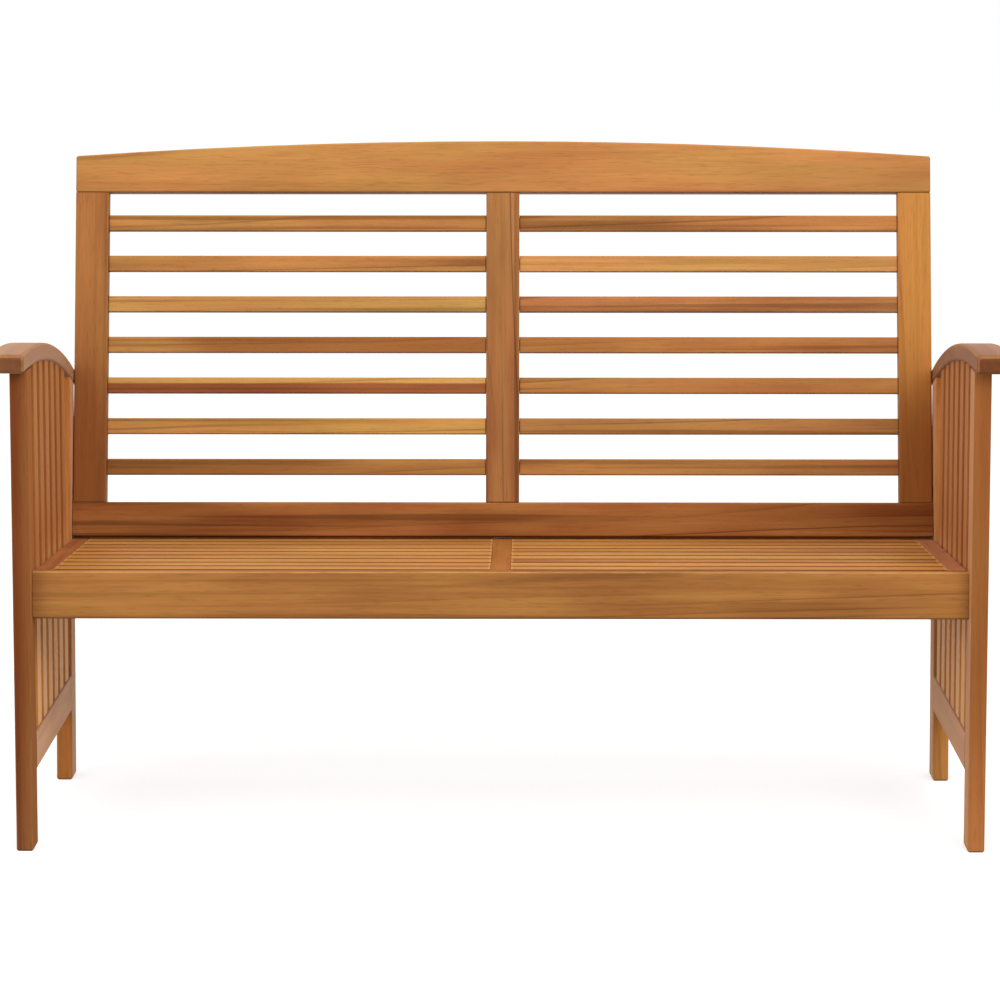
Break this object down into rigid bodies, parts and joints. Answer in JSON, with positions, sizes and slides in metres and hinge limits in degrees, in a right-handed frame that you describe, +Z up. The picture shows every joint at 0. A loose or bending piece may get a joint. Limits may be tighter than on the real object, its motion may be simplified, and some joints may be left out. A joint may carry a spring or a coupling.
{
  "type": "garden bench",
  "caption": "Slatted garden bench in oiled hardwood, with a leaning slatted back under an arched top rail, bent armrests and slatted side frames.",
  "frame": {"origin": "on the ground under the middle of the whole bench", "axes": "+X along the bench, +Y from front to back (the front faces -Y), +Z up"},
  "size_m": [1.188, 0.5646, 0.8094],
  "materials": {
    "oiled_wood_golden": "oiled",
    "oiled_wood_amber": "oiled",
    "oiled_wood_brown": "oiled",
    "zinc_plated_steel": "satin",
    "spacer_plastic": "matt"
  },
  "bodies": {
    "root": {"back_bottom_rail": "oiled_wood_brown", "back_centre_stile": "oiled_wood_brown", "back_spacers": "spacer_plastic", "back_top_rail": "oiled_wood_golden", "barrel_nuts": "zinc_plated_steel", "connector_bolts": "zinc_plated_steel", "left_armrest": "oiled_wood_brown", "left_back_slat_1": "oiled_wood_golden", "left_back_slat_2": "oiled_wood_golden", "left_back_slat_3": "oiled_wood_golden", "left_back_slat_4": "oiled_wood_golden", "left_back_slat_5": "oiled_wood_golden", "left_back_slat_6": "oiled_wood_golden", "left_back_slat_7": "oiled_wood_golden", "left_back_stile": "oiled_wood_golden", "left_front_leg": "oiled_wood_amber", "left_lower_side_rail": "oiled_wood_amber", "left_rear_leg": "oiled_wood_amber", "left_seat_side_rail": "oiled_wood_amber", "left_seat_slat_1": "oiled_wood_amber", "left_seat_slat_2": "oiled_wood_amber", "left_seat_slat_3": "oiled_wood_amber", "left_seat_slat_4": "oiled_wood_amber", "left_seat_slat_5": "oiled_wood_amber", "left_seat_slat_6": "oiled_wood_amber", "left_seat_slat_7": "oiled_wood_amber", "left_seat_slat_8": "oiled_wood_amber", "left_seat_slat_9": "oiled_wood_amber", "left_side_slats": "oiled_wood_golden", "right_armrest": "oiled_wood_brown", "right_back_slat_1": "oiled_wood_golden", "right_back_slat_2": "oiled_wood_golden", "right_back_slat_3": "oiled_wood_golden", "right_back_slat_4": "oiled_wood_golden", "right_back_slat_5": "oiled_wood_golden", "right_back_slat_6": "oiled_wood_golden", "right_back_slat_7": "oiled_wood_golden", "right_back_stile": "oiled_wood_golden", "right_front_leg": "oiled_wood_amber", "right_lower_side_rail": "oiled_wood_amber", "right_rear_leg": "oiled_wood_amber", "right_seat_side_rail": "oiled_wood_amber", "right_seat_slat_1": "oiled_wood_amber", "right_seat_slat_2": "oiled_wood_amber", "right_seat_slat_3": "oiled_wood_amber", "right_seat_slat_4": "oiled_wood_amber", "right_seat_slat_5": "oiled_wood_amber", "right_seat_slat_6": "oiled_wood_amber", "right_seat_slat_7": "oiled_wood_amber", "right_seat_slat_8": "oiled_wood_amber", "right_seat_slat_9": "oiled_wood_amber", "right_side_slats": "oiled_wood_golden", "seat_centre_rail": "oiled_wood_brown", "seat_front_rail": "oiled_wood_amber", "seat_rear_bolts": "zinc_plated_steel", "seat_rear_nuts": "zinc_plated_steel", "seat_rear_rail": "oiled_wood_amber", "seat_rear_washers": "zinc_plated_steel"}
  },
  "joints": []
}
